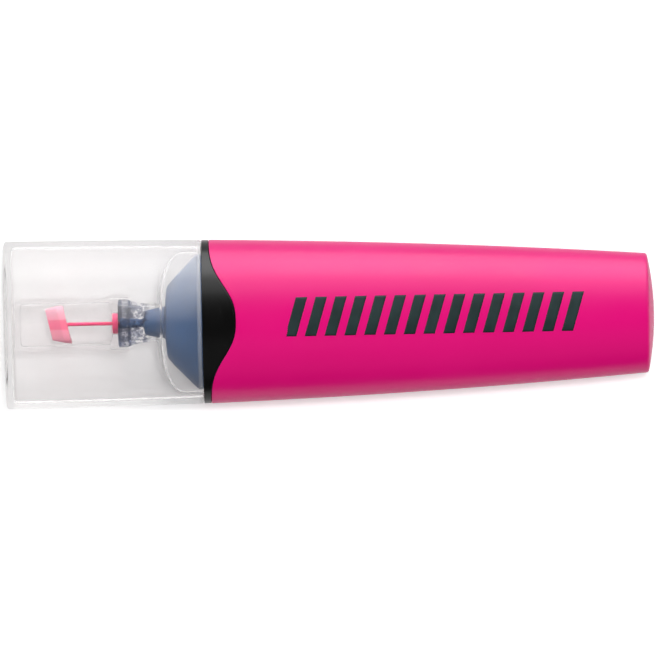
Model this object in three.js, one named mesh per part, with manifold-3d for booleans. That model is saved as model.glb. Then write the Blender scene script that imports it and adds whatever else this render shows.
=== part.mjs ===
// A flat-oval highlighter with a see-through nib and a clear pull-off cap.
// Millimetres. The pen lies on a table: +X runs from the cap's closed end to the barrel's tail,
// +Y across the broad face, +Z up. The origin is on the table, under the middle of the pen.

import * as THREE from "three";
import { mergeVertices } from "three/addons/utils/BufferGeometryUtils.js";
import Module from "manifold-3d";

const wasm = await Module();
wasm.setup();

// ---- Driving dimensions -------------------------------------------------------------------

const LENGTH = 110; // cap end to tail
const HALF_WIDTH = 14.24; // of the skin at the cap's closed end, its widest place
const HALF_DEPTH = 9; // half the thickness there
const TAPER = 4.2; // half-width lost from the cap end to the tail
const TAPER_POWER = 2.05; // how late along the pen the taper comes
const SKIN_POWER = 2.2; // superellipse power of the oval sections, 2 is an ellipse
const ROUND = 2; // the same power for round sections

const WALL = 1.3; // of the cap, the grip collar and the barrel
const GAP = 0.3; // between neighbouring pieces
const AROUND = 56; // facets round an oval piece
const AROUND_SMALL = 32; // facets round a small round piece

const CAP_LENGTH = 33.4; // closed end to rim
const CAP_EDGE_R = 0.6; // rounding of the closed end's edge
const RIM_R = 0.3; // rounding of a moulded rim

const BORE_R = 3.55; // of the inner cap, round the nib
const BORE_START = 2.6; // the inner cap's closed end, inside
const INNER_CAP_R = 4.45;
const SEAT_START = 17.8; // where the inner cap's bore widens to seal on the nozzle
const SEAT_R = 4.35;
const SEAT_WALL = 0.6;
const SLEEVE_END = 20.9; // the inner cap's mouth

const NIB_SLANT = 0.234; // run of the nib's slanted faces along the pen for each mm across
const NIB_FRONT = 7.4; // where the nib's writing edge crosses the pen's axis
const NIB_BACK = 10.55; // where its back face does
const NIB_R = 3.25; // round limit of the nib's sides
const NIB_THICK = 3.6; // at the back of the nib
const NIB_EDGE = 0.9; // thickness of its writing edge
const NIB_WEDGE = 2; // length over which the nib thins to that edge
const HEEL_Y = -2.5; // lower end of the writing edge
const HEEL_END = 10.25; // the nib's heel is cut off from there to this station
const CARRIER_R = 2.95;
const FLANGE_R = 4.0;
const FLANGE_START = 18.1;
const THREAD_R = 0.3;
const PAD_R = 1.75; // of the feed rod's head, in the flange
const PAD_START = 18.2;
const PAD_END = 19.1;
const FEED_R = 0.3;
const FEED_END = 44;

const NOZZLE_START = 19.2;
const NOZZLE_END = 20.7; // rear of the nozzle's ring
const NOZZLE_R = 4.05;
const SOCKET_DEPTH = 1.7; // of the nozzle's socket for the nib carrier
const SOCKET_R = 3;
const NECK_START = 21.6;
const NECK_R = 3.3;
const SHOULDER_START = 25.7; // the clear shoulder domes out from here
const SPIGOT_START = 30.1; // to here, where the cap's rim slides over it
const COVER_WALL = 0.55; // of the clear spigot
const DOME_WALL = 0.8; // of the clear shoulder at its front

const SPOUT_START = 19.4; // of the black section's spout, round the feed rod
const SPOUT_R = 0.95;
const SPOUT_WAIST = 23.4;
const SPOUT_WAIST_R = 0.65;
const BOSS_START = 23.7;
const BOSS_R = 2.4;
const FUNNEL_START = 27; // front face of the black funnel
const FUNNEL_W = 6; // half-width of that face
const FUNNEL_H = 4; // its half-thickness
const FUNNEL_END = 32.6; // its flanks meet the plug here
const PLUG_END = 46; // rear end of the black section, inside the barrel
const PLUG_WALL = 1.2;

const COLLAR_EDGE = 1.3; // reach of the grip collar behind the cap's rim, at the pen's sides
const TONGUE = 4.45; // further reach of its tongue on each broad face
const TONGUE_HALF_WIDTH = 7.36;
const TONGUE_POWER = 2.65; // how square the tongue's end is

const TAIL_BULGE = 1.1; // of the domed tail
const RESERVOIR_START = 36;
const RESERVOIR_END = 103;
const RESERVOIR_W = 7.8; // half-width of the fibre core
const RESERVOIR_H = 4.1; // half-thickness of the fibre core
const FILM = 0.3; // thickness of the film round it
const FIN = 1; // thickness of the ribs and fins inside the barrel

const AXIS_Z = HALF_DEPTH; // height of the pen's axis over the table

const COLOURS = {
  clear: 0xe9e9ec,
  pink: 0xe8127d,
  ink: 0xf4719a,
  black: 0x141416,
  fibre: 0xf4a6c0,
  film: 0xe8e4e6,
};

// ---- Helpers ------------------------------------------------------------------------------

// Stations run from the cap's closed end, 0, to the tail, LENGTH.
const skinWidth = (s) => HALF_WIDTH - TAPER * (s / LENGTH) ** TAPER_POWER;
const skinDepth = (s) => (HALF_DEPTH / HALF_WIDTH) * skinWidth(s);

// How far the grip collar reaches behind the cap's rim, across the broad face.
const waveReach = (y) =>
  COLLAR_EDGE + TONGUE * Math.exp(-((Math.abs(y) / TONGUE_HALF_WIDTH) ** TONGUE_POWER));

const range = (from, to, steps) =>
  Array.from({ length: steps + 1 }, (_, i) => from + ((to - from) * i) / steps);

// A row of a profile: station, half-width, half-thickness and superellipse power.
const oval = (s, w, h, power = SKIN_POWER) => ({ s, w, h, power });
const round = (s, r) => ({ s, w: r, h: r, power: ROUND });

// The skin at station s, sunk by inset.
const skin = (s, inset = 0) => oval(s, skinWidth(s) - inset, skinDepth(s) - inset);

// Spins a profile about the pen's axis. A LatheGeometry gives the surface, and each of its
// rings is then drawn out to its own oval.
function spin(profile, segments) {
  const points = profile.map((p) => new THREE.Vector2(p.w, p.s));
  const geometry = new THREE.LatheGeometry(points, segments);
  const position = geometry.getAttribute("position");
  for (let i = 0; i <= segments; i++) {
    const angle = ((i % segments) / segments) * 2 * Math.PI;
    profile.forEach((p, j) => {
      const bend = (value) => Math.sign(value) * Math.abs(value) ** (2 / p.power);
      position.setXYZ(
        i * profile.length + j,
        p.s - LENGTH / 2,
        p.w * bend(Math.cos(angle)),
        AXIS_Z + p.h * bend(Math.sin(angle)),
      );
    });
  }
  return geometry;
}

// A closed surface as a manifold-3d solid, and back.
function solid(geometry) {
  const bare = geometry.index ? geometry.toNonIndexed() : geometry.clone();
  bare.deleteAttribute("normal");
  bare.deleteAttribute("uv");
  const merged = mergeVertices(bare, 1e-4);
  const made = new wasm.Manifold(
    new wasm.Mesh({
      numProp: 3,
      vertProperties: merged.attributes.position.array,
      triVerts: new Uint32Array(merged.index.array),
    }),
  );
  if (made.volume() <= 0) throw new Error("a profile is inside out");
  return made;
}

function geometryOf(manifold) {
  const { vertProperties, triVerts } = manifold.getMesh();
  return new THREE.BufferGeometry()
    .setAttribute("position", new THREE.BufferAttribute(vertProperties, 3))
    .setIndex(new THREE.BufferAttribute(triVerts, 1));
}

// A prism whose outline lies in plan view, as [station, y] pairs, right through the pen.
function planPrism(outline) {
  const shape = new THREE.Shape(outline.map(([s, y]) => new THREE.Vector2(s - LENGTH / 2, y)));
  const depth = 4 * AXIS_Z;
  const prism = new THREE.ExtrudeGeometry(shape, { depth, bevelEnabled: false });
  return solid(prism.translate(0, 0, AXIS_Z - depth / 2));
}

// A block from one station to another, centred on the axis.
function block(from, to, width, height) {
  const box = new THREE.BoxGeometry(to - from, width, height);
  return solid(box.translate((from + to) / 2 - LENGTH / 2, 0, AXIS_Z));
}

const pen = new THREE.Group();

function add(name, geometry, color, finish = {}) {
  const material = new THREE.MeshStandardMaterial({ color, roughness: 0.35, metalness: 0, ...finish });
  const mesh = new THREE.Mesh(geometry, material);
  mesh.name = name;
  pen.add(mesh);
}

// ---- Cap ----------------------------------------------------------------------------------

function capShell() {
  const corner = range(0, Math.PI / 2, 3).map((a) => {
    const s = CAP_EDGE_R * (1 - Math.cos(a));
    return skin(s, CAP_EDGE_R * (1 - Math.sin(a)));
  });
  const outside = range(CAP_EDGE_R, CAP_LENGTH - RIM_R, 7).slice(1).map((s) => skin(s));
  const inside = range(CAP_LENGTH - RIM_R, 2 * WALL, 7).map((s) => skin(s, WALL));
  return spin(
    [
      round(0, 0),
      ...corner,
      ...outside,
      skin(CAP_LENGTH, RIM_R),
      skin(CAP_LENGTH, WALL - RIM_R),
      ...inside,
      skin(WALL, 2 * WALL),
      round(WALL, 0),
    ],
    AROUND,
  );
}

function innerCap() {
  const front = WALL + GAP;
  return spin(
    [
      round(front, 0),
      round(front, INNER_CAP_R - 2 * RIM_R),
      round(front + RIM_R, INNER_CAP_R),
      round(SEAT_START - 2 * RIM_R, INNER_CAP_R),
      round(SEAT_START, SEAT_R + SEAT_WALL),
      round(SLEEVE_END - RIM_R, SEAT_R + SEAT_WALL),
      round(SLEEVE_END, SEAT_R + SEAT_WALL - RIM_R),
      round(SLEEVE_END, SEAT_R),
      round(SEAT_START, SEAT_R),
      round(SEAT_START, BORE_R),
      round(BORE_START + RIM_R, BORE_R),
      round(BORE_START, BORE_R - RIM_R),
      round(BORE_START, 0),
    ],
    AROUND_SMALL,
  );
}

// ---- Nib and ink feed ---------------------------------------------------------------------

// The nib's slanted faces: the station of each one across the broad face.
const nibFront = (y) => NIB_FRONT - NIB_SLANT * y;
const nibBack = (y) => NIB_BACK - NIB_SLANT * y;

function nibHead() {
  const top = 0.86 * NIB_R; // the writing edge ends a little inside the nib's round side
  const outline = planPrism([
    [nibFront(top), top],
    [nibFront(HEEL_Y), HEEL_Y],
    [HEEL_END, -NIB_R],
    [nibBack(-NIB_R), -NIB_R],
    [nibBack(NIB_R), NIB_R],
  ]);
  const edge = nibFront(top);
  const end = nibBack(-NIB_R);
  const wedge = new THREE.Shape(
    [
      [edge, NIB_EDGE / 2],
      [edge + NIB_WEDGE, NIB_THICK / 2],
      [end, NIB_THICK / 2],
      [end, -NIB_THICK / 2],
      [edge + NIB_WEDGE, -NIB_THICK / 2],
      [edge, -NIB_EDGE / 2],
    ].map(([s, z]) => new THREE.Vector2(s - LENGTH / 2, z)),
  );
  const depth = 4 * NIB_R;
  const across = new THREE.ExtrudeGeometry(wedge, { depth, bevelEnabled: false });
  across.rotateX(Math.PI / 2).translate(0, depth / 2, AXIS_Z);
  const inBore = spin(
    [round(edge - 1, 0), round(edge - 1, NIB_R), round(end + 1, NIB_R), round(end + 1, 0)],
    AROUND_SMALL,
  );
  return geometryOf(outline.intersect(solid(across)).intersect(solid(inBore)));
}

// The clear window behind the nib: a channel for the ink runs down its middle, and its flange
// has a skirt that plugs into the nozzle and holds the feed rod's head.
function nibCarrier() {
  const front = nibBack(2 * NIB_R);
  const channel = 2 * THREAD_R;
  const socket = PAD_R + GAP;
  const skirt = SOCKET_R - GAP;
  const skirtEnd = NOZZLE_START + SOCKET_DEPTH - GAP;
  const body = spin(
    [
      round(front, channel),
      round(front, CARRIER_R),
      round(FLANGE_START - RIM_R, CARRIER_R),
      round(FLANGE_START, CARRIER_R + RIM_R),
      round(FLANGE_START, FLANGE_R),
      round(NOZZLE_START - GAP, FLANGE_R),
      round(NOZZLE_START - GAP, skirt),
      round(skirtEnd, skirt),
      round(skirtEnd, socket),
      round(PAD_START - GAP, socket),
      round(PAD_START - GAP, channel),
      round(front, channel),
    ],
    AROUND_SMALL,
  );
  const reach = 2 * NIB_R;
  const behindNib = planPrism([
    [nibBack(-reach) + GAP, -reach],
    [LENGTH, -reach],
    [LENGTH, reach],
    [nibBack(reach) + GAP, reach],
  ]);
  return geometryOf(solid(body).intersect(behindNib));
}

const inkThread = () =>
  spin(
    [
      round(NIB_BACK + 2 * GAP, 0),
      round(NIB_BACK + 2 * GAP, THREAD_R),
      round(PAD_START - GAP, THREAD_R),
      round(PAD_START - GAP, 0),
    ],
    12,
  );

const feedRod = () =>
  spin(
    [
      round(PAD_START, 0),
      round(PAD_START, PAD_R),
      round(PAD_END, PAD_R),
      round(PAD_END, FEED_R),
      round(FEED_END - FEED_R, FEED_R),
      round(FEED_END, FEED_R / 2),
      round(FEED_END, 0),
    ],
    20,
  );

// ---- Clear front cover and black section --------------------------------------------------

// Profile rows of a dome from a round neck to an oval skirt, on a quarter of an ellipse.
const dome = (from, neckR, to, skirt, steps) =>
  range(0, Math.PI / 2, steps).map((a) => {
    const rise = Math.sin(a);
    return oval(
      from + (to - from) * (1 - Math.cos(a)),
      neckR + (skirt.w - neckR) * rise,
      neckR + (skirt.h - neckR) * rise,
      ROUND + (SKIN_POWER - ROUND) * rise,
    );
  });

function frontCover() {
  const spigot = skin(CAP_LENGTH, WALL + GAP);
  const lining = skin(CAP_LENGTH, WALL + GAP + COVER_WALL);
  const neckInside = BOSS_R + 1.5 * GAP;
  const domeInside = SHOULDER_START + DOME_WALL;
  return spin(
    [
      round(NOZZLE_START, SOCKET_R),
      round(NOZZLE_START, NOZZLE_R - RIM_R),
      round(NOZZLE_START + RIM_R, NOZZLE_R),
      round(NOZZLE_END - RIM_R, NOZZLE_R),
      round(NOZZLE_END, NOZZLE_R - RIM_R),
      round(NECK_START, NECK_R + 1.5 * RIM_R),
      round(SPOUT_WAIST, NECK_R),
      round(SHOULDER_START - RIM_R, NECK_R),
      ...dome(SHOULDER_START, NECK_R + RIM_R, SPIGOT_START, spigot, 8),
      spigot,
      lining,
      ...dome(domeInside, neckInside, SPIGOT_START, lining, 7).reverse(),
      round(NOZZLE_START + SOCKET_DEPTH, neckInside),
      round(NOZZLE_START + SOCKET_DEPTH, SOCKET_R),
      round(NOZZLE_START, SOCKET_R),
    ],
    AROUND,
  );
}

// The plan outline between the wavy edge, moved back by offset, and the station end.
function waveRegion(end, offset) {
  const side = 1.2 * HALF_WIDTH;
  const wave = range(-side, side, 44).map((y) => [CAP_LENGTH + waveReach(y) + offset, y]);
  return [[end, -side], ...wave, [end, side]];
}

// The black section: a spout and a funnel under the clear cover, the wavy grip collar in the
// pen's skin, and a plug that holds the barrel.
function gripSection() {
  const funnelEnd = skin(CAP_LENGTH, WALL + 2 * GAP + COVER_WALL);
  const front = CAP_LENGTH + GAP;
  const plugFront = skin(front, WALL + GAP);
  const plug = skin(PLUG_END, WALL + GAP);
  const bore = FEED_R + GAP / 2;
  const hollow = skin(PLUG_END, WALL + GAP + PLUG_WALL);
  const body = spin(
    [
      round(SPOUT_START, bore),
      round(SPOUT_START, SPOUT_R),
      round(SPOUT_WAIST, SPOUT_WAIST_R),
      round(BOSS_START, BOSS_R),
      round(FUNNEL_START - RIM_R, BOSS_R),
      round(FUNNEL_START, BOSS_R + RIM_R),
      oval(FUNNEL_START + 2 * RIM_R, FUNNEL_W, FUNNEL_H),
      oval(FUNNEL_END, funnelEnd.w, funnelEnd.h),
      oval(front, funnelEnd.w, funnelEnd.h),
      plugFront,
      oval(PLUG_END - RIM_R, plug.w, plug.h),
      oval(PLUG_END, plug.w - RIM_R, plug.h - RIM_R),
      oval(PLUG_END, hollow.w, hollow.h),
      oval(FUNNEL_END + PLUG_WALL, hollow.w - GAP, hollow.h),
      oval(FUNNEL_START + 2 * PLUG_WALL, FUNNEL_W - PLUG_WALL, FUNNEL_H - PLUG_WALL),
      round(FUNNEL_START + 2 * PLUG_WALL, bore),
      round(SPOUT_START, bore),
    ],
    AROUND,
  );
  const end = front + 2 * TONGUE;
  const collar = [
    ...range(front, end, 3).map((s) => skin(s)),
    ...range(end, front, 3).map((s) => skin(s, WALL + 2 * GAP)),
    skin(front),
  ];
  const wavy = solid(spin(collar, AROUND)).intersect(planPrism(waveRegion(0, 0)));
  return geometryOf(solid(body).add(wavy));
}

// ---- Barrel and reservoir -----------------------------------------------------------------

// The domed tail as profile rows, from its rim to the axis, sunk by inset.
function tail(inset) {
  const rim = LENGTH - TAIL_BULGE;
  const rows = range(1, 0, 5).map((share) => {
    const bulge = TAIL_BULGE * (1 - share * share);
    const w = share * (skinWidth(rim) - inset - RIM_R);
    const h = share * (skinDepth(rim) - inset - RIM_R);
    return oval(rim + bulge - inset, w, h);
  });
  rows[rows.length - 1] = round(LENGTH - inset, 0);
  return [skin(rim - RIM_R - inset, inset), ...rows];
}

function barrel() {
  const start = CAP_LENGTH + GAP;
  const rim = LENGTH - TAIL_BULGE - RIM_R;
  const outside = range(start, rim, 12).slice(0, -1);
  const inside = range(start, rim - WALL, 12).slice(0, -1);
  const shell = spin(
    [
      ...outside.map((s) => skin(s)),
      ...tail(0),
      ...tail(WALL).reverse(),
      ...inside.reverse().map((s) => skin(s, WALL)),
      skin(start),
    ],
    AROUND,
  );
  const toMiddleOfWall = spin(
    [round(start, 0), ...outside.map((s) => skin(s, WALL / 2)), ...tail(WALL / 2)],
    AROUND,
  );
  // A rib along each side keeps the reservoir in the middle, and crossed fins stop it.
  const behind = RESERVOIR_END + 2 * GAP;
  const beside = RESERVOIR_W + FILM + 2 * GAP;
  const bothSides = block(PLUG_END + GAP, behind, 2 * HALF_WIDTH, FIN);
  const ribs = bothSides.subtract(block(PLUG_END, LENGTH, 2 * beside, 2 * FIN));
  const fins = block(behind, LENGTH, 2 * HALF_WIDTH, FIN).add(
    block(behind, LENGTH, FIN, 2 * HALF_DEPTH),
  );
  const inner = ribs.add(fins).intersect(solid(toMiddleOfWall));
  return geometryOf(solid(shell).intersect(planPrism(waveRegion(2 * LENGTH, GAP))).add(inner));
}

function reservoirCore() {
  const socket = FEED_R + GAP;
  return spin(
    [
      round(FEED_END + GAP, 0),
      round(FEED_END + GAP, socket),
      round(RESERVOIR_START, socket),
      oval(RESERVOIR_START, RESERVOIR_W, RESERVOIR_H, ROUND),
      oval(RESERVOIR_END, RESERVOIR_W, RESERVOIR_H, ROUND),
      round(RESERVOIR_END, 0),
    ],
    AROUND_SMALL,
  );
}

function reservoirFilm() {
  const inner = [RESERVOIR_W + GAP, RESERVOIR_H + GAP, ROUND];
  const outer = [RESERVOIR_W + GAP + FILM, RESERVOIR_H + GAP + FILM, ROUND];
  return spin(
    [
      oval(RESERVOIR_START - 1, ...outer),
      oval(RESERVOIR_END, ...outer),
      oval(RESERVOIR_END, ...inner),
      oval(RESERVOIR_START - 1, ...inner),
      oval(RESERVOIR_START - 1, ...outer),
    ],
    40,
  );
}

// ---- The pen ------------------------------------------------------------------------------

const clear = { roughness: 0.15, transparent: true, opacity: 0.35 };
const felt = { roughness: 0.9 };

add("cap_shell", capShell(), COLOURS.clear, clear);
add("inner_cap", innerCap(), COLOURS.clear, clear);
add("nib_head", nibHead(), COLOURS.ink, felt);
add("nib_carrier", nibCarrier(), COLOURS.clear, clear);
add("ink_thread", inkThread(), COLOURS.ink, felt);
add("feed_rod", feedRod(), COLOURS.ink, felt);
add("front_cover", frontCover(), COLOURS.clear, clear);
add("grip_section", gripSection(), COLOURS.black);
add("barrel", barrel(), COLOURS.pink);
add("reservoir_core", reservoirCore(), COLOURS.fibre, felt);
add("reservoir_film", reservoirFilm(), COLOURS.film, clear);

export default pen;
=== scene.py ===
"""Looks for a flat-oval highlighter: clear cap, see-through nib, wavy black grip, pink barrel.

Metres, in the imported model's own frame: +X from the cap's closed end to the tail, +Z up. A
station is a distance along the pen from the cap's closed end.
"""

import math

import bmesh
import bpy
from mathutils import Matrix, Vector


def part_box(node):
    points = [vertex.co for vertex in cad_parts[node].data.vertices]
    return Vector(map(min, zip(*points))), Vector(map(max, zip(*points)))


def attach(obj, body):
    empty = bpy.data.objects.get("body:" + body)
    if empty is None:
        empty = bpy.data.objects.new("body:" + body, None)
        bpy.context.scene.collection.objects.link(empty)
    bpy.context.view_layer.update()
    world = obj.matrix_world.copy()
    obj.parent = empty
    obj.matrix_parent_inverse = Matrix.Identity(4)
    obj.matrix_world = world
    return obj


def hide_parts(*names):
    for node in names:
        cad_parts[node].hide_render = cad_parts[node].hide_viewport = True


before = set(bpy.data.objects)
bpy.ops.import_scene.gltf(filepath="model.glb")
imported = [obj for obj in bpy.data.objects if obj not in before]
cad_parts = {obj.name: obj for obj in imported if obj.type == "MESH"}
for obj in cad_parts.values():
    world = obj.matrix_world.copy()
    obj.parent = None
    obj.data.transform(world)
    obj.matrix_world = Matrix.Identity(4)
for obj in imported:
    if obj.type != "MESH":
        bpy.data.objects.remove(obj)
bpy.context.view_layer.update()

# ---- Sizes from the frame -----------------------------------------------------------------

MM = 0.001

CAP_LO, CAP_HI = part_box("cap_shell")
_, BARREL_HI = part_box("barrel")
COVER_LO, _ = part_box("front_cover")
SECTION_LO, SECTION_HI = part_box("grip_section")
_, CARRIER_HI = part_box("nib_carrier")
_, THREAD_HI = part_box("ink_thread")
ROD_LO, ROD_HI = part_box("feed_rod")
CORE_LO, CORE_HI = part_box("reservoir_core")
FILM_LO, FILM_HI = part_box("reservoir_film")

START = CAP_LO.x
LENGTH = BARREL_HI.x - START
CAP_LENGTH = CAP_HI.x - START
HALF_WIDTH = CAP_HI.y
HALF_DEPTH = (CAP_HI.z - CAP_LO.z) / 2
AXIS_Z = CAP_LO.z + HALF_DEPTH

# ---- The design's own numbers, as in the CAD ----------------------------------------------

TAPER = 4.2 * MM
TAPER_POWER = 2.05
SKIN_POWER = 2.2
WALL = 1.3 * MM
GAP = 0.3 * MM
HAIRLINE = 0.06 * MM  # of the joints that are closed on the real pen

BORE_R = 3.55 * MM
BORE_START = 2.6 * MM
INNER_CAP_R = 4.45 * MM
SEAT_START = 17.8 * MM
SEAT_R = 4.35 * MM
SEAT_WALL = 0.6 * MM
SLEEVE_END = 20.9 * MM

NIB_SLANT = 0.234
NIB_FRONT = 7.4 * MM
NIB_BACK = 10.55 * MM
NIB_R = 3.25 * MM
NIB_THICK = 3.6 * MM
NIB_EDGE = 0.9 * MM
CARRIER_R = 2.95 * MM
FLANGE_R = CARRIER_HI.y
FLANGE_START = 18.1 * MM
THREAD_R = THREAD_HI.y
PAD_START = ROD_LO.x - START
PAD_END = 19.1 * MM
PAD_R = ROD_HI.y
FEED_R = 0.3 * MM
FEED_END = ROD_HI.x - START

NOZZLE_START = COVER_LO.x - START
NOZZLE_END = 20.7 * MM
NOZZLE_R = 4.05 * MM
SOCKET_R = 3 * MM
SOCKET_DEPTH = 1.7 * MM
NECK_START = 21.6 * MM
NECK_R = 3.3 * MM
SHOULDER_START = 25.7 * MM
SPIGOT_START = 30.1 * MM
COVER_WALL = 0.55 * MM
DOME_WALL = 0.8 * MM

SPOUT_START = SECTION_LO.x - START
SPOUT_R = 0.95 * MM
SPOUT_WAIST = 23.4 * MM
SPOUT_WAIST_R = 0.62 * MM
BOSS_START = 23.7 * MM
BOSS_R = 2.4 * MM
BOSS_FLARE = 0.36 * MM  # narrower than BOSS_R in front and wider behind, straight in the CAD
FUNNEL_START = 27 * MM
FUNNEL_W = 6 * MM
FUNNEL_H = 4 * MM
FUNNEL_END = 32.6 * MM
PLUG_END = SECTION_HI.x - START
PLUG_WALL = 1.2 * MM

COLLAR_EDGE = 1.3 * MM
TONGUE = 4.45 * MM
TONGUE_HALF_WIDTH = 7.36 * MM
TONGUE_POWER = 2.65
TAIL_BULGE = 1.1 * MM

AROUND = 192  # points round a piece
SHARP = math.radians(40)  # edges that bend more than this aren't smoothed over


def skin_width(s):
    return HALF_WIDTH - TAPER * (max(s, 0) / LENGTH) ** TAPER_POWER


def skin_depth(s):
    return HALF_DEPTH / HALF_WIDTH * skin_width(s)


def wave_reach(y):
    """How far the grip collar reaches behind the cap's rim, across the broad face."""
    return COLLAR_EDGE + TONGUE * math.exp(-((abs(y) / TONGUE_HALF_WIDTH) ** TONGUE_POWER))


def smooth_step(t):
    t = min(max(t, 0.0), 1.0)
    return t * t * (3 - 2 * t)


# ---- Turned pieces ------------------------------------------------------------------------


def rounded(corners, steps=5):
    """Profile points for a list of corners (station, half-width, rounding radius)."""
    points = []
    last = len(corners) - 1
    for i, (s, w, radius) in enumerate(corners):
        here = Vector((s, w))
        if radius <= 0 or i in (0, last):
            points.append(here)
            continue
        to_before = Vector(corners[i - 1][:2]) - here
        to_after = Vector(corners[i + 1][:2]) - here
        reach = min(radius, 0.49 * to_before.length, 0.49 * to_after.length)
        a = here + to_before.normalized() * reach
        b = here + to_after.normalized() * reach
        for k in range(steps + 1):
            t = k / steps
            points.append(a * (1 - t) ** 2 + here * 2 * t * (1 - t) + b * t**2)
    return points


def divided(points, step):
    """The same profile with long stretches split, so that no row is further than step away."""
    out = [points[0]]
    for a, b in zip(points, points[1:]):
        count = max(1, math.ceil((b - a).length / step))
        out += [a.lerp(b, k / count) for k in range(1, count + 1)]
    return out


def through(knots, w):
    """Half-thickness for half-width w, between knots, and a constant inset beyond the last."""
    for (w0, h0), (w1, h1) in zip(knots, knots[1:]):
        if w <= w1:
            return h0 + (h1 - h0) * (w - w0) / (w1 - w0)
    return knots[-1][1] + w - knots[-1][0]


def as_round(s, w):
    return w, 2.0


def as_skin(s, w):
    """Round at the middle, the pen's oval at the skin."""
    inner = 3 * MM
    middle = 5.6 * MM
    outer_w = skin_width(s)
    outer_h = skin_depth(s)
    knots = [(0, 0), (middle, middle), (outer_w - inner, outer_h - inner), (outer_w, outer_h)]
    share = smooth_step((w - middle) / (outer_w - inner - middle))
    return through(knots, w), 2 + (SKIN_POWER - 2) * share


def finish_mesh(name, bm):
    bmesh.ops.remove_doubles(bm, verts=bm.verts, dist=1e-8)
    bmesh.ops.recalc_face_normals(bm, faces=bm.faces)
    mesh = bpy.data.meshes.new(name)
    bm.to_mesh(mesh)
    bm.free()
    mesh.shade_smooth()
    mesh.set_sharp_from_angle(angle=SHARP)
    piece = bpy.data.objects.new(name, mesh)
    bpy.context.scene.collection.objects.link(piece)
    return piece


def turned(name, profile, shape=as_round, shift=None, around=AROUND, closed=False):
    """Spins profile points (station, half-width) about the pen's axis into a closed mesh.

    shape(s, w) gives the half-thickness and the superellipse power of each row, and
    shift(s, y) moves its points along the pen.
    """
    bm = bmesh.new()
    rows = []
    for s, w in profile:
        h, power = shape(s, w)
        count = 1 if w < 1e-7 else around
        row = []
        for i in range(count):
            angle = 2 * math.pi * i / around
            c, d = math.cos(angle), math.sin(angle)
            y = w * math.copysign(abs(c) ** (2 / power), c)
            z = h * math.copysign(abs(d) ** (2 / power), d)
            x = s + (shift(s, y) if shift else 0)
            row.append(bm.verts.new((START + x, y, AXIS_Z + z)))
        rows.append(row)
    pairs = list(zip(rows, rows[1:]))
    if closed:
        pairs.append((rows[-1], rows[0]))
    for low, high in pairs:
        for i in range(around):
            j = (i + 1) % around
            if len(low) == 1 and len(high) == 1:
                continue
            if len(low) == 1:
                bm.faces.new((low[0], high[i], high[j]))
            elif len(high) == 1:
                bm.faces.new((low[i], high[0], low[j]))
            else:
                bm.faces.new((low[i], high[i], high[j], low[j]))
    return finish_mesh(name, bm)


# ---- Materials ----------------------------------------------------------------------------


def set_ramp(node, stops):
    """Gives a Color Ramp node its stops of (position, linear colour)."""
    elements = node.color_ramp.elements
    while len(elements) < len(stops):
        elements.new(0.5)
    for element, (position, colour) in zip(elements, stops):
        element.position = position
        element.color = (*colour, 1)


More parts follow.
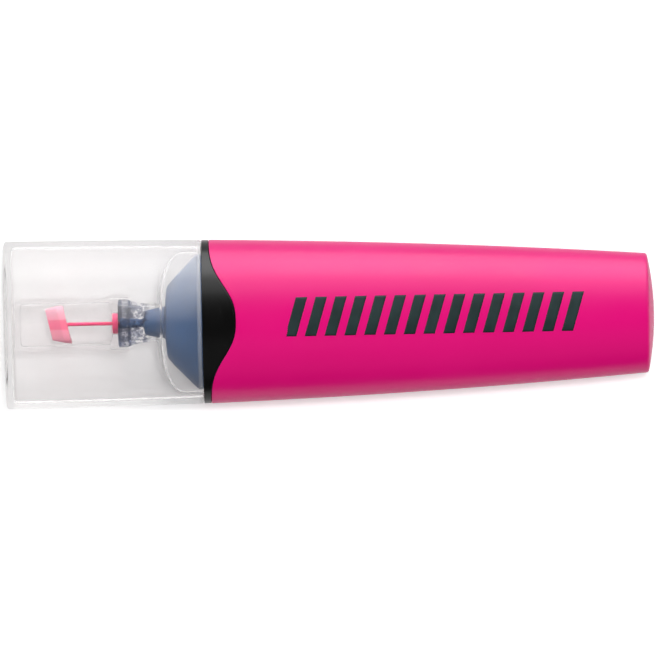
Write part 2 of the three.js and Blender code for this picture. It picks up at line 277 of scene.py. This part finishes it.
class Nodes:
    """A material under construction: a Principled shader and the nodes that feed it."""

    def __init__(self, name):
        self.material = bpy.data.materials.new(name)
        self.material.use_nodes = True
        self.tree = self.material.node_tree
        self.tree.nodes.clear()
        self.output = self.add("ShaderNodeOutputMaterial")
        self.shader = self.add("ShaderNodeBsdfPrincipled")
        self.link(self.shader.outputs["BSDF"], self.output.inputs["Surface"])
        self.place = self.add("ShaderNodeTexCoord").outputs["Object"]

    def add(self, kind, **settings):
        node = self.tree.nodes.new(kind)
        for key, value in settings.items():
            setattr(node, key, value)
        return node

    def link(self, a, b):
        self.tree.links.new(a, b)

    def set(self, **values):
        for key, value in values.items():
            self.shader.inputs[key.replace("_", " ")].default_value = value

    def stretched(self, scale):
        """The object's coordinates with each axis scaled."""
        mapping = self.add("ShaderNodeMapping")
        mapping.inputs["Scale"].default_value = scale
        self.link(self.place, mapping.inputs["Vector"])
        return mapping.outputs["Vector"]

    def noise(self, scale, detail=3.0, roughness=0.5, vector=None):
        node = self.add("ShaderNodeTexNoise")
        node.inputs["Scale"].default_value = scale
        node.inputs["Detail"].default_value = detail
        node.inputs["Roughness"].default_value = roughness
        self.link(vector or self.place, node.inputs["Vector"])
        return node.outputs["Fac"]

    def between(self, factor, low, high, start=0.35, end=0.65):
        """A number that runs from low to high as factor runs from start to end."""
        node = self.add("ShaderNodeMapRange")
        node.inputs["From Min"].default_value = start
        node.inputs["From Max"].default_value = end
        node.inputs["To Min"].default_value = low
        node.inputs["To Max"].default_value = high
        self.link(factor, node.inputs["Value"])
        return node.outputs["Result"]

    def colours(self, factor, stops):
        """A colour ramp through stops of (position, linear colour)."""
        node = self.add("ShaderNodeValToRGB")
        set_ramp(node, stops)
        self.link(factor, node.inputs["Fac"])
        return node.outputs["Color"]

    def along(self, axis):
        """The object's coordinate along X, Y or Z."""
        split = self.add("ShaderNodeSeparateXYZ")
        self.link(self.place, split.inputs["Vector"])
        return split.outputs[axis]

    def maths(self, operation, a, b):
        """A Math node on two outputs, or an output and a number."""
        node = self.add("ShaderNodeMath", operation=operation)
        for socket, value in zip(node.inputs, (a, b)):
            if isinstance(value, (int, float)):
                socket.default_value = value
            else:
                self.link(value, socket)
        return node.outputs["Value"]

    def slant(self):
        """0 where the surface is seen face on, 1 where it is seen edge on."""
        node = self.add("ShaderNodeLayerWeight")
        node.inputs["Blend"].default_value = 0.5
        return node.outputs["Facing"]

    def paint(self, colour):
        self.link(colour, self.shader.inputs["Base Color"])

    def gloss(self, roughness):
        self.link(roughness, self.shader.inputs["Roughness"])

    def bump(self, height, distance, strength):
        node = self.add("ShaderNodeBump")
        node.inputs["Distance"].default_value = distance
        node.inputs["Strength"].default_value = strength
        self.link(height, node.inputs["Height"])
        self.link(node.outputs["Normal"], self.shader.inputs["Normal"])

    def moulded(self):
        """The fine grain that a mould leaves."""
        self.bump(self.noise(1100, detail=1), 0.004 * MM, 0.15)

    def lets_lamps_through(self, shade):
        """Lamplight reaches what is behind the surface, and less of it where it strikes aslant."""
        clear = self.add("ShaderNodeBsdfTransparent")
        tints = [(0.0, 3 * [shade]), (0.3, 3 * [0.9 * shade]), (1.0, 3 * [0.0])]
        self.link(self.colours(self.slant(), tints), clear.inputs["Color"])
        path = self.add("ShaderNodeLightPath")
        mix = self.add("ShaderNodeMixShader")
        self.link(path.outputs["Is Shadow Ray"], mix.inputs["Fac"])
        self.link(self.shader.outputs["BSDF"], mix.inputs[1])
        self.link(clear.outputs["BSDF"], mix.inputs[2])
        self.link(mix.outputs["Shader"], self.output.inputs["Surface"])


def clear_plastic(
    name, colour, haze, roughness, shade, ior=1.49, polish=0.0, shaded_tint=None, painted_veil=None
):
    """Clear moulded plastic.

    haze is the milky share face on and aslant, shade the share of lamplight that each surface
    lets through, and polish the weight of a glossy skin. The last two, where given, take the
    material and give a colour in place of the plain one, with painted shade in it, and a
    further milky share, a painted veil of light.
    """
    m = Nodes(name)
    m.set(IOR=ior, Coat_Weight=polish, Coat_IOR=1.5, Coat_Roughness=0.06)
    milk = m.between(m.slant(), haze[0], haze[1], 0, 1)
    # A further milky share, where given, adds painted light.
    if painted_veil:
        milk = m.maths("ADD", milk, painted_veil(m))
    m.link(m.maths("SUBTRACT", 1, milk), m.shader.inputs["Transmission Weight"])
    # The colour given in place of the plain one carries painted shade.
    if shaded_tint:
        m.paint(shaded_tint(m))
    else:
        dimmer = tuple(0.98 * c for c in colour)
        m.paint(m.colours(m.noise(90, detail=2), [(0.3, colour), (0.7, dimmer)]))
    scratches = m.noise(60, detail=8, roughness=0.7, vector=m.stretched((6, 40, 40)))
    m.gloss(m.between(scratches, roughness, roughness + 0.08, 0.5, 0.75))
    m.bump(m.noise(260, detail=2), 0.02 * MM, 0.3)
    m.lets_lamps_through(shade)
    return m.material


def cap_plastic(name):
    """Clear plastic, milkier along its +Y side, a painted veil of the light from the +Y lamps, and
    round its rim, a painted highlight on the rim's edge.
    """

    def painted_veil(m):
        across = m.between(m.along("Y"), 0, 1, 0, HALF_WIDTH)
        # painted light: milkier towards +Y, the side that the lamps light
        side = m.between(m.maths("POWER", across, 0.8), 0, 0.17, 0, 0.85)
        # painted highlight: a milkier band round the rim
        rim = m.between(m.along("X"), 0, 0.07, CAP_HI.x - 0.8 * MM, CAP_HI.x - 0.5 * MM)
        return m.maths("ADD", rim, side)

    grey = (0.85, 0.84, 0.84)
    return clear_plastic(name, grey, (0.02, 0.08), 0.06, 0.88, 1.05, 0.15, painted_veil=painted_veil)


def cover_plastic(name):
    """Clear plastic tinted navy over its nozzle, darkest along the nozzle's two edges, with dark
    blots over the neck up to the boss: painted shade where the clear nozzle and neck look dark.
    """
    clean, shade_navy = (0.99, 0.99, 0.99), (0.05, 0.08, 0.19)

    def shaded_tint(m):
        # painted shade: darkest along the nozzle's two edges, lighter between, none at the neck
        along = m.along("X")
        nozzle = m.between(along, 0, 1, START + NOZZLE_START, START + NECK_START + 1 * MM)
        strong, weak, none = 3 * [1.0], 3 * [0.5], 3 * [0.0]
        stops = [(0.0, strong), (0.13, strong), (0.2, weak), (0.44, weak), (0.48, strong)]
        stops += [(0.54, strong), (0.62, weak), (0.9, none)]
        patches = m.between(m.noise(800, detail=1), 0.5, 1.0, 0.4, 0.6)
        nozzle_shade = m.maths("MULTIPLY", m.colours(nozzle, stops), patches)
        # painted shade: dark blots over the neck, up to the boss
        shade_blots = m.between(m.noise(900, detail=2), 0.0, 0.8, 0.5, 0.56)
        near = m.between(along, 1.0, 0.0, START + BOSS_START, START + BOSS_START + 1 * MM)
        total = m.maths("MAXIMUM", nozzle_shade, m.maths("MULTIPLY", shade_blots, near))
        return m.colours(total, [(0.0, clean), (1.0, shade_navy)])

    return clear_plastic(name, clean, (0.0, 0.04), 0.05, 0.98, 1.05, 0.07, shaded_tint=shaded_tint)


def pink_plastic(name):
    m = Nodes(name)
    m.set(IOR=1.45)
    cloud = m.noise(45, detail=4)
    m.paint(m.colours(cloud, [(0.3, (0.73, 0.0005, 0.175)), (0.7, (0.77, 0.0006, 0.19))]))
    m.gloss(m.between(m.noise(80), 0.285, 0.345))
    m.moulded()
    return m.material


def black_plastic(name, light, deep, roughness):
    m = Nodes(name)
    m.set(IOR=1.45, Specular_IOR_Level=0.4)
    cloud = m.noise(70, detail=4)
    m.paint(m.colours(cloud, [(0.3, deep), (0.7, light)]))
    m.gloss(m.between(m.noise(90), roughness, roughness + 0.08))
    m.moulded()
    return m.material


def felt(name, fibre_scale=1.0):
    """Bonded fibre wet with ink, without its colour: fibres run along the pen."""
    m = Nodes(name)
    m.set(IOR=1.4, Sheen_Weight=0.2, Sheen_Roughness=0.5, Subsurface_Weight=0.2)
    m.set(Subsurface_Scale=0.5 * MM)
    m.fibres = m.noise(300 * fibre_scale, detail=6, roughness=0.7, vector=m.stretched((1.2, 8, 8)))
    m.gloss(m.between(m.fibres, 0.5, 0.75))
    m.bump(m.fibres, 0.05 * MM, 0.6)
    return m


def wet_felt(name, light, deep, fibre_scale=1.0):
    m = felt(name, fibre_scale)
    m.paint(m.colours(m.fibres, [(0.35, deep), (0.65, light)]))
    return m.material


def nib_felt(name):
    """Felt in pink ink, with painted light: paler towards +Y, a painted highlight, and deeper
    along the middle, a painted shade.
    """
    m = felt(name)
    # pale is a painted highlight on the +Y side, deep a painted shade along the middle
    pale, mid, deep = (0.95, 0.50, 0.60), (0.95, 0.33, 0.44), (0.92, 0.17, 0.30)
    stops = [(0.0, mid), (0.34, mid), (0.38, deep), (0.60, deep), (0.64, mid), (1.0, pale)]
    ink = m.colours(m.between(m.along("Y"), 0, 1, -NIB_R, NIB_R), stops)
    streaks = m.colours(m.fibres, [(0.35, (0.94, 0.88, 0.90)), (0.65, (1, 1, 1))])
    mix = m.add("ShaderNodeMix", data_type="RGBA", blend_type="MULTIPLY")
    mix.inputs["Factor"].default_value = 1
    m.link(ink, mix.inputs["A"])
    m.link(streaks, mix.inputs["B"])
    m.paint(mix.outputs["Result"])
    return m.material


def print_ink(name):
    m = Nodes(name)
    m.set(IOR=1.45, Specular_IOR_Level=0.25)
    mottle = m.noise(300, detail=3)
    m.paint(m.colours(mottle, [(0.35, (0.011, 0.022, 0.022)), (0.65, (0.016, 0.032, 0.032))]))
    m.gloss(m.between(mottle, 0.5, 0.62))
    m.bump(mottle, 0.004 * MM, 0.4)
    return m.material


CLEAR = cap_plastic("clear_cap_plastic")
CLEAR_INNER = clear_plastic(
    "clear_inner_plastic", (0.998, 0.995, 0.995), (0.0, 0.02), 0.05, 0.995, 1.02
)
CLEAR_WINDOW = clear_plastic(
    "clear_window_plastic", (0.998, 0.985, 0.988), (0.0, 0.03), 0.04, 0.995, 1.03
)
CLEAR_COVER = cover_plastic("clear_cover_plastic")
FILM = clear_plastic("reservoir_film_plastic", (0.95, 0.93, 0.94), (0.1, 0.2), 0.2, 0.9)
PINK = pink_plastic("pink_barrel_plastic")
BLACK = black_plastic("black_grip_plastic", (0.003, 0.003, 0.003), (0.0015, 0.0015, 0.0015), 0.19)
NAVY = black_plastic("navy_section_plastic", (0.040, 0.098, 0.225), (0.034, 0.085, 0.200), 0.45)
FELT = nib_felt("nib_felt")
THREAD = wet_felt("ink_thread_fibre", (0.86, 0.06, 0.20), (0.78, 0.04, 0.15))
FIBRE = wet_felt("reservoir_fibre", (0.93, 0.42, 0.58), (0.86, 0.30, 0.48), 0.5)
PRINT = print_ink("grey_print_ink")


def place(piece, body, material, slot, *nodes):
    """Gives a finished piece its material, parents it to its body, and hides the CAD nodes it
    stands for.
    """
    piece.data.materials.append(material)
    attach(piece, body)
    if nodes:
        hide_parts(*nodes)


def along_skin(first, last, inset=0.0):
    """Corners every 3 mm along the skin or inset from it, from one whole millimetre to another."""
    step = 3 if last > first else -3
    return [(s * MM, skin_width(s * MM) - inset, 0) for s in range(first, last, step)]


# ---- Cap ----------------------------------------------------------------------------------


def make_cap_shell():
    edge = 0.6 * MM
    rim = 0.3 * MM
    outer = [(0, 0, 0), (0, HALF_WIDTH, edge)]
    outer += along_skin(2, 33)
    inner = along_skin(32, 2, WALL)
    corners = (
        outer
        + [(CAP_LENGTH, skin_width(CAP_LENGTH), rim)]
        + [(CAP_LENGTH, skin_width(CAP_LENGTH) - WALL, rim)]
        + inner
        + [(WALL, skin_width(WALL) - WALL, 0.7 * MM)]
        + [(WALL, 0, 0)]
    )
    shell = turned("cap_shell_clear", divided(rounded(corners), 2 * MM), as_skin)
    place(shell, "cap", CLEAR, "clear_plastic", "cap_shell")


def make_inner_cap():
    front = WALL + HAIRLINE
    corners = [
        (front, 0, 0),
        (front, INNER_CAP_R, 0.4 * MM),
        (SEAT_START - 0.6 * MM, INNER_CAP_R, 0.5 * MM),
        (SEAT_START, SEAT_R + SEAT_WALL, 0.5 * MM),
        (SLEEVE_END, SEAT_R + SEAT_WALL, 0.25 * MM),
        (SLEEVE_END, SEAT_R, 0.25 * MM),
        (SEAT_START, SEAT_R, 0.15 * MM),
        (SEAT_START, BORE_R, 0.2 * MM),
        (BORE_START, BORE_R, 0.5 * MM),
        (BORE_START, 0, 0),
    ]
    sleeve = turned("inner_cap_clear", divided(rounded(corners), 2 * MM))
    place(sleeve, "cap", CLEAR_INNER, "clear_plastic", "inner_cap")


# ---- Nib and feed -------------------------------------------------------------------------


def make_nib_head():
    rows = [
        (NIB_FRONT, 0, 0),
        (NIB_FRONT, 2.65 * MM, 0),
        (NIB_FRONT + 2 * MM, 3.1 * MM, 0),
        (NIB_BACK, NIB_R, 0.25 * MM),
        (NIB_BACK, 0, 0),
    ]

    def wedge(s, w):
        rise = min(max((s - NIB_FRONT) / (2 * MM), 0), 1)
        half = (NIB_EDGE + (NIB_THICK - NIB_EDGE) * rise) / 2
        return half * min(1, w / (2.6 * MM)), 5.0

    profile = divided(rounded(rows, 4), 0.25 * MM)
    nib = turned("nib_head_felt", profile, wedge, lambda s, y: -NIB_SLANT * y, around=96)
    place(nib, "pen", FELT, "ink_felt", "nib_head")


def make_nib_carrier():
    channel = THREAD_R + HAIRLINE
    socket = PAD_R + HAIRLINE
    skirt = SOCKET_R - HAIRLINE
    skirt_end = NOZZLE_START + SOCKET_DEPTH - HAIRLINE
    front = NIB_BACK + HAIRLINE
    corners = [
        (front, channel, 0),
        (front, CARRIER_R, 0.25 * MM),
        (FLANGE_START - 0.3 * MM, CARRIER_R, 0.3 * MM),
        (FLANGE_START, CARRIER_R + 0.3 * MM, 0.2 * MM),
        (FLANGE_START, FLANGE_R, 0.2 * MM),
        (NOZZLE_START - HAIRLINE, FLANGE_R, 0.2 * MM),
        (NOZZLE_START - HAIRLINE, skirt, 0.1 * MM),
        (skirt_end, skirt, 0.2 * MM),
        (skirt_end, socket, 0.1 * MM),
        (PAD_START - HAIRLINE, socket, 0.1 * MM),
        (PAD_START - HAIRLINE, channel, 0.1 * MM),
        (front, channel, 0),
    ]

    def slant(s, y):
        straight = smooth_step((s - front) / (4 * MM))
        return -NIB_SLANT * y * (1 - straight)

    profile = divided(rounded(corners), 1 * MM)[:-1]
    carrier = turned("nib_carrier_clear", profile, shift=slant, around=96, closed=True)
    place(carrier, "pen", CLEAR_WINDOW, "clear_plastic", "nib_carrier")


def make_ink_thread():
    start = NIB_BACK - 0.1 * MM
    end = PAD_START
    corners = [(start, 0, 0), (start, THREAD_R, 0), (end, THREAD_R, 0), (end, 0, 0)]
    thread = turned("ink_thread_pink", divided(rounded(corners), 1 * MM), around=32)
    place(thread, "pen", THREAD, "ink_felt", "ink_thread")


def make_feed_rod():
    corners = [
        (PAD_START, 0, 0),
        (PAD_START, PAD_R, 0.15 * MM),
        (PAD_END, PAD_R, 0.15 * MM),
        (PAD_END, FEED_R, 0.1 * MM),
        (FEED_END, FEED_R, 0.4 * MM),
        (FEED_END, 0, 0),
    ]
    rod = turned("feed_rod_fibre", divided(rounded(corners), 2 * MM), around=64)
    place(rod, "pen", THREAD, "ink_felt", "feed_rod")


# ---- Clear front cover and black section --------------------------------------------------


def dome(start, neck, end, reach, steps=16):
    """Corners of a shoulder from the radius neck to the half-width reach, on an ellipse."""
    corners = []
    for k in range(1, steps + 1):
        angle = math.pi / 2 * k / steps
        s = start + (end - start) * (1 - math.cos(angle))
        corners.append((s, neck + (reach - neck) * math.sin(angle), 0))
    return corners


def make_front_cover():
    spigot_w = skin_width(CAP_LENGTH) - WALL - GAP
    spigot_h = skin_depth(CAP_LENGTH) - WALL - GAP
    lining_w, lining_h = spigot_w - COVER_WALL, spigot_h - COVER_WALL
    inside_r = BOSS_R + 1.5 * GAP
    socket_end = NOZZLE_START + SOCKET_DEPTH
    dome_inside = SHOULDER_START + DOME_WALL
    knots = [(0, 0), (NECK_R, NECK_R), (lining_w, lining_h), (spigot_w, spigot_h)]

    def as_cover(s, w):
        share = smooth_step((w - NECK_R) / (spigot_w - NECK_R))
        return through(knots, w), 2 + (SKIN_POWER - 2) * share

    corners = (
        [(NOZZLE_START, SOCKET_R, 0), (NOZZLE_START, NOZZLE_R, 0.3 * MM)]
        + [(NOZZLE_END, NOZZLE_R, 0.3 * MM), (NECK_START, NECK_R + 0.4 * MM, 0.6 * MM)]
        + [(SPOUT_WAIST, NECK_R, 0.8 * MM), (SHOULDER_START, NECK_R, 0.4 * MM)]
        + dome(SHOULDER_START, NECK_R, SPIGOT_START, spigot_w)
        + [(CAP_LENGTH, spigot_w, 0.1 * MM), (CAP_LENGTH, lining_w, 0.1 * MM)]
        + dome(dome_inside, inside_r, SPIGOT_START, lining_w)[::-1]
        + [(dome_inside, inside_r, 0.4 * MM), (socket_end, inside_r, 0.1 * MM)]
        + [(socket_end, SOCKET_R, 0.1 * MM), (NOZZLE_START, SOCKET_R, 0)]
    )
    profile = divided(rounded(corners), 1.5 * MM)[:-1]
    cover = turned("front_cover_clear", profile, as_cover, closed=True)
    place(cover, "pen", CLEAR_COVER, "clear_plastic", "front_cover")


def make_black_section():
    """The part of the black section that lies under the clear cover and inside the barrel."""
    end_w = skin_width(CAP_LENGTH) - WALL - 2 * GAP - COVER_WALL
    end_h = skin_depth(CAP_LENGTH) - WALL - 2 * GAP - COVER_WALL
    plug_w = skin_width(PLUG_END) - WALL - GAP
    bore = FEED_R + HAIRLINE
    front = CAP_LENGTH + 0.12 * MM
    cavity = FUNNEL_START + 2 * PLUG_WALL
    boss_end = BOSS_R + BOSS_FLARE
    knots = [(0, 0), (boss_end, boss_end), (FUNNEL_W, FUNNEL_H), (end_w, end_h)]

    def as_section(s, w):
        share = smooth_step((w - boss_end) / (end_w - boss_end))
        return through(knots, w), 2 + (SKIN_POWER - 2) * share

    corners = [
        (SPOUT_START, bore, 0),
        (SPOUT_START, SPOUT_R, 0.2 * MM),
        (SPOUT_WAIST, SPOUT_WAIST_R, 0.4 * MM),
        (BOSS_START, BOSS_R - BOSS_FLARE, 0.4 * MM),
        (FUNNEL_START, boss_end, 0.3 * MM),
        (FUNNEL_START + 0.3 * MM, FUNNEL_W, 0.5 * MM),
        (FUNNEL_END, end_w, 0.3 * MM),
        (front, end_w, 0),
        (front, end_w + 0.5 * MM, 0.1 * MM),
        (PLUG_END, plug_w, 0.3 * MM),
        (PLUG_END, plug_w - PLUG_WALL, 0.3 * MM),
        (FUNNEL_END + PLUG_WALL, end_w - PLUG_WALL, 0.5 * MM),
        (cavity, FUNNEL_W - PLUG_WALL, 0.5 * MM),
        (cavity, bore, 0.1 * MM),
        (SPOUT_START, bore, 0),
    ]
    profile = divided(rounded(corners), 1.5 * MM)[:-1]
    section = turned("section_navy", profile, as_section, closed=True)
    place(section, "pen", NAVY, "black_plastic", "grip_section")


def make_grip_collar():
    start = CAP_LENGTH + 0.12 * MM
    edge = 1.2 * MM  # nominal length, before the wave is added
    end = start + edge
    fixed = 0.3 * MM  # rows this close to an end keep their distance from it
    corners = [
        (start, skin_width(start) - WALL, 0),
        (start, skin_width(start), 0.12 * MM),
        (start + fixed, skin_width(start), 0),
        (end - fixed, skin_width(start), 0),
        (end, skin_width(start), 0.15 * MM),
        (end, skin_width(start) - WALL, 0),
        (start, skin_width(start) - WALL, 0),
    ]
    profile = divided(rounded(corners), 0.05 * MM)[:-1]

    def as_collar(s, w):
        return as_skin(start, w)

    def wave(s, y):
        grow = min(max((s - start - fixed) / (edge - 2 * fixed), 0), 1)
        return grow * (CAP_LENGTH + wave_reach(y) - end)

    collar = turned("grip_collar_black", profile, as_collar, wave, around=384, closed=True)
    follow_taper(collar, start)
    place(collar, "pen", BLACK, "black_plastic", "grip_section")


def follow_taper(piece, start):
    """Narrows a piece that was built at the section of station start to the skin's own taper."""
    for v in piece.data.vertices:
        share = skin_width(v.co.x - START) / skin_width(start)
        v.co.y *= share
        v.co.z = AXIS_Z + (v.co.z - AXIS_Z) * share


# ---- Barrel -------------------------------------------------------------------------------


def make_barrel():
    start = CAP_LENGTH + HAIRLINE
    rim = LENGTH - TAIL_BULGE
    fixed = 0.4 * MM
    fade = 24 * MM
    outside = along_skin(36, 108)
    inside = along_skin(105, 36, WALL)
    shares = [(1, 0.45)] + [(k / 12, 0) for k in range(11, 0, -1)]
    tail_outside = [
        (rim + TAIL_BULGE * (1 - share**2), share * skin_width(rim), edge * MM)
        for share, edge in shares
    ]
    tail_inside = [
        (s - WALL, w * (1 - WALL / skin_width(rim)), edge) for s, w, edge in reversed(tail_outside)
    ]
    corners = (
        [(start, skin_width(start) - WALL, 0), (start, skin_width(start), 0.12 * MM)]
        + [(start + fixed, skin_width(start), 0)]
        + outside
        + tail_outside
        + [(LENGTH, 0, 0)]
    )
    inner_corners = (
        [(LENGTH - WALL, 0, 0)] + tail_inside + inside + [(start, skin_width(start) - WALL, 0)]
    )
    profile = divided(rounded(corners), 1 * MM) + divided(rounded(inner_corners), 3 * MM)[:-1]

    def as_barrel(s, w):
        """The broad faces round over a little more than the sides do before the tail."""
        turn = min(max((s - (rim - 0.9 * MM)) / (0.9 * MM), 0), 1)
        rounding = 1 - 0.06 * (1 - math.sqrt(1 - 0.96 * turn**2))
        return w * HALF_DEPTH / HALF_WIDTH * rounding, SKIN_POWER

    def wave(s, y):
        faded = min(max((s - start - fixed) / fade, 0), 1)
        return (1 - faded) ** 2 * (CAP_LENGTH + wave_reach(y) + HAIRLINE - start)

    barrel = turned("barrel_pink", profile, as_barrel, wave, around=384, closed=True)
    place(barrel, "pen", PINK, "pink_plastic", "barrel")


def make_print():
    """A plain row of slanted bars on the upper broad face."""
    first = 48.4 * MM
    last = 97.0 * MM
    count = 15
    tall = 6.6 * MM
    middle_y = 0.5 * MM
    slant = 0.3
    pitch = (last - first) / (count - 0.42)
    width = 0.58 * pitch
    bm = bmesh.new()
    steps_s, steps_y = 6, 20
    for n in range(count):
        grid = []
        for i in range(steps_s + 1):
            column = []
            for j in range(steps_y + 1):
                y = middle_y + tall * (j / steps_y - 0.5)
                s = first + n * pitch + width * i / steps_s + slant * (y - middle_y)
                share = min(abs(y) / skin_width(s), 1)
                z = skin_depth(s) * (1 - share**SKIN_POWER) ** (1 / SKIN_POWER)
                column.append(bm.verts.new((START + s, y, AXIS_Z + z)))
            grid.append(column)
        for i in range(steps_s):
            for j in range(steps_y):
                bm.faces.new((grid[i][j], grid[i + 1][j], grid[i + 1][j + 1], grid[i][j + 1]))
    bars = finish_mesh("printed_bars", bm)
    thick = bars.modifiers.new("ink", "SOLIDIFY")
    thick.thickness = 0.05 * MM
    thick.offset = 0
    place(bars, "pen", PRINT, "print_ink")


# ---- Reservoir ----------------------------------------------------------------------------


def make_reservoir():
    start, end = CORE_LO.x - START, CORE_HI.x - START
    w, h = CORE_HI.y, CORE_HI.z - AXIS_Z
    socket = FEED_R + HAIRLINE
    floor = FEED_END + HAIRLINE

    def as_core(s, half):
        return through([(0, 0), (socket, socket), (w, h)], half), 2.0

    corners = [(floor, 0, 0), (floor, socket, 0), (start, socket, 0), (start, w, 0.5 * MM)]
    corners += [(end, w, 0.5 * MM), (end, 0, 0)]
    core = turned("reservoir_core_fibre", divided(rounded(corners), 3 * MM), as_core, around=96)
    place(core, "pen", FIBRE, "fibre_core", "reservoir_core")

    start, end = FILM_LO.x - START, FILM_HI.x - START
    w, h = FILM_HI.y, FILM_HI.z - AXIS_Z
    thick = 0.15 * MM
    corners = [(start, w - thick, 0), (start, w, 0), (end, w, 0), (end, w - thick, 0)]
    corners += [(start, w - thick, 0)]

    def as_film(s, half):
        return h - (w - half), 2.0

    profile = divided(rounded(corners), 3 * MM)[:-1]
    film = turned("reservoir_film_clear", profile, as_film, around=96, closed=True)
    place(film, "pen", FILM, "film_wrap", "reservoir_film")


# ---- Stage --------------------------------------------------------------------------------


def make_floor():
    """A pale floor with a glow that only the camera sees, directly or through clear plastic."""
    size = 1.5
    glow = 0.42
    bm = bmesh.new()
    bmesh.ops.create_grid(bm, x_segments=2, y_segments=2, size=size)
    mesh = bpy.data.meshes.new("floor")
    bm.to_mesh(mesh)
    bm.free()
    floor = bpy.data.objects.new("floor", mesh)
    floor.location.z = -0.02 * MM
    bpy.context.scene.collection.objects.link(floor)
    m = Nodes("pale_floor")
    m.set(Roughness=0.9, Base_Color=(0.88, 0.88, 0.88, 1), Specular_IOR_Level=0.0)
    m.set(Emission_Color=(1, 1, 1, 1))
    path = m.add("ShaderNodeLightPath")
    seen = m.maths("MAXIMUM", path.outputs["Is Camera Ray"], path.outputs["Is Transmission Ray"])
    m.link(m.maths("MULTIPLY", seen, glow), m.shader.inputs["Emission Strength"])
    floor.data.materials.append(m.material)


def softbox(name, place_at, size, power):
    light = bpy.data.lights.new(name, "AREA")
    light.shape = "RECTANGLE"
    light.size, light.size_y = size
    light.energy = power
    lamp = bpy.data.objects.new(name, light)
    lamp.location = place_at
    aim = Vector((0, 0, AXIS_Z)) - lamp.location
    lamp.rotation_euler = aim.to_track_quat("-Z", "Y").to_euler()
    bpy.context.scene.collection.objects.link(lamp)
    return lamp


def make_lights():
    """Two boxes overhead light the matte surfaces, and two on the +Y side make the highlights."""
    for name, place_at, power in (
        ("overhead", (0.05, 0.08, 0.9), 4.1),
        ("fill", (0, -0.26, 0.87), 1.0),
    ):
        box = softbox(name, place_at, (0.12, 0.12), power)
        box.visible_glossy = False
        box.visible_transmission = False
    for name, tilt, power in (("low_box", 66, 4.6), ("high_box", 45, 1.6)):
        away = math.radians(tilt)
        place_at = (0, 0.5 * math.sin(away), 0.5 * math.cos(away))
        box = softbox(name, place_at, (1.0, 0.45), power)
        box.visible_diffuse = False


def make_world():
    """A tent over the pen: a slot overhead, a bright wall on the +Y side and a dim one opposite.

    The tent is a list of (degrees from overhead towards +Y, brightness).
    """
    tent = [(-90, 0.03), (-65, 0.05), (-50, 0.2), (-16, 0.2), (-8, 0.02), (8, 0.02)]
    tent += [(16, 0.4), (30, 0.8), (50, 1.1), (75, 1.1), (90, 0.8)]
    world = bpy.data.worlds.new("studio")
    world.use_nodes = True
    tree = world.node_tree
    split = tree.nodes.new("ShaderNodeSeparateXYZ")
    towards = tree.nodes.new("ShaderNodeTexCoord").outputs["Generated"]
    tree.links.new(towards, split.inputs["Vector"])
    angle = tree.nodes.new("ShaderNodeMath")
    angle.operation = "ARCTAN2"
    tree.links.new(split.outputs["Y"], angle.inputs[0])
    tree.links.new(split.outputs["Z"], angle.inputs[1])
    share = tree.nodes.new("ShaderNodeMapRange")
    share.inputs["From Min"].default_value = -math.pi / 2
    share.inputs["From Max"].default_value = math.pi / 2
    tree.links.new(angle.outputs["Value"], share.inputs["Value"])
    wall = tree.nodes.new("ShaderNodeValToRGB")
    brightest = max(level for _, level in tent)
    set_ramp(wall, [((tilt + 90) / 180, 3 * [level / brightest]) for tilt, level in tent])
    tree.links.new(share.outputs["Result"], wall.inputs["Fac"])
    background = tree.nodes["Background"]
    background.inputs["Strength"].default_value = brightest
    tree.links.new(wall.outputs["Color"], background.inputs["Color"])
    bpy.context.scene.world = world


def make_camera():
    """Looks straight down, with the pen across the whole picture."""
    lens, sensor = 400, 36
    across = 1.011 * LENGTH  # the breadth that the picture takes in
    distance = across * lens / sensor
    roll = math.radians(-1.17)
    data = bpy.data.cameras.new("camera")
    data.lens = lens
    data.sensor_width = sensor
    camera = bpy.data.objects.new("camera", data)
    camera.location = (-0.3 * MM, -1.5 * MM, AXIS_Z + distance)
    camera.rotation_euler = (0, 0, roll)
    bpy.context.scene.collection.objects.link(camera)
    bpy.context.scene.camera = camera


def set_view_and_bounces():
    """Standard view, and enough bounces for the many clear walls of the cap, sleeve and cover."""
    scene = bpy.context.scene
    scene.view_settings.view_transform = "Standard"
    scene.cycles.max_bounces = 24
    scene.cycles.transmission_bounces = 24
    scene.cycles.transparent_max_bounces = 32


make_cap_shell()
make_inner_cap()
make_nib_head()
make_nib_carrier()
make_ink_thread()
make_feed_rod()
make_front_cover()
make_black_section()
make_grip_collar()
make_barrel()
make_print()
make_reservoir()
make_floor()
make_lights()
make_world()
make_camera()
set_view_and_bounces()
